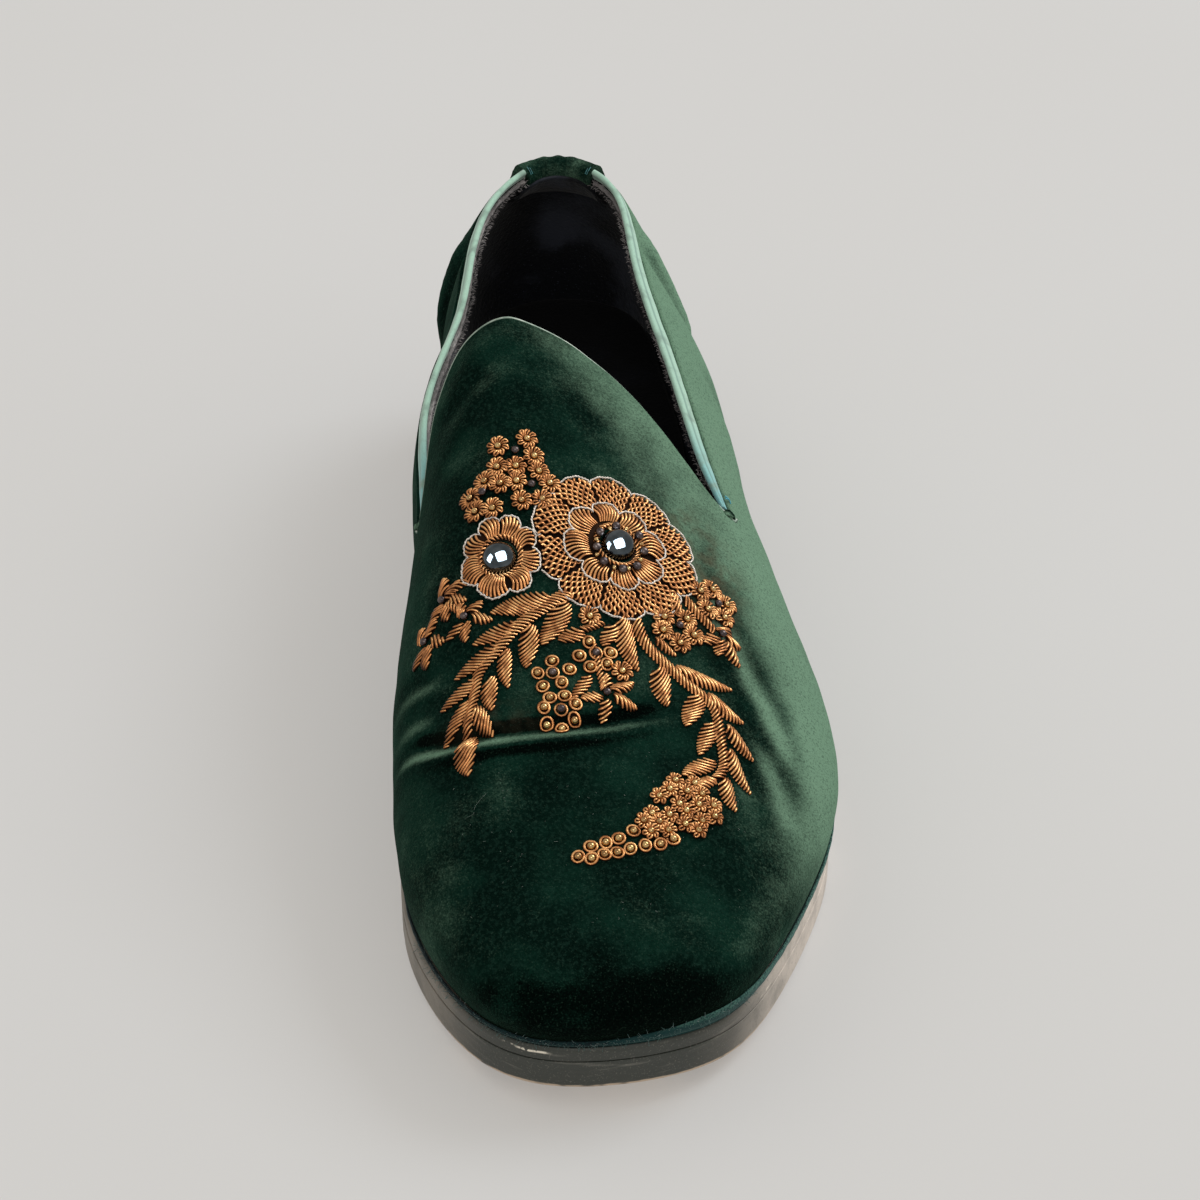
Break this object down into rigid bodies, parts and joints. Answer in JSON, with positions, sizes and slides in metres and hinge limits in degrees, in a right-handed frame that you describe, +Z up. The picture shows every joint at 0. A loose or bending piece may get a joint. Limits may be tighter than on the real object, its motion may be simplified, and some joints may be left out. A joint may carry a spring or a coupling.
{
  "type": "velvet loafer",
  "caption": "Left velvet slipper-style loafer with a hollow upper, high tongue, piped collar, heel tab, layered leather sole, low block heel and polished beads on the vamp.",
  "frame": {"origin": "centre of the bounding box, on the ground under the shoe", "axes": "+Z up, toe towards -Y, outer side of the foot towards +X"},
  "size_m": [0.1091, 0.2968, 0.1022],
  "materials": {
    "velvet": "deep green pile, paler at grazing angles",
    "rand_velvet": "teal velvet strip, slightly frayed",
    "piping": "mint ribbed binding, matte",
    "lining": "near-black navy felt",
    "sole_edge": "satin, granular, worn",
    "sole_leather": "satin, pitted at the edge",
    "lift_rubber": "matte",
    "gunmetal": "polished dark metal"
  },
  "bodies": {
    "root": {"upper": "velvet", "heel_tab": "velvet", "rand": "rand_velvet", "collar_piping_medial": "piping", "collar_piping_lateral": "piping", "insole": "lining", "midsole": "sole_edge", "outsole": "sole_leather", "heel": "sole_leather", "heel_lift": "lift_rubber", "cabochon_large": "gunmetal", "cabochon_small": "gunmetal"}
  },
  "joints": []
}
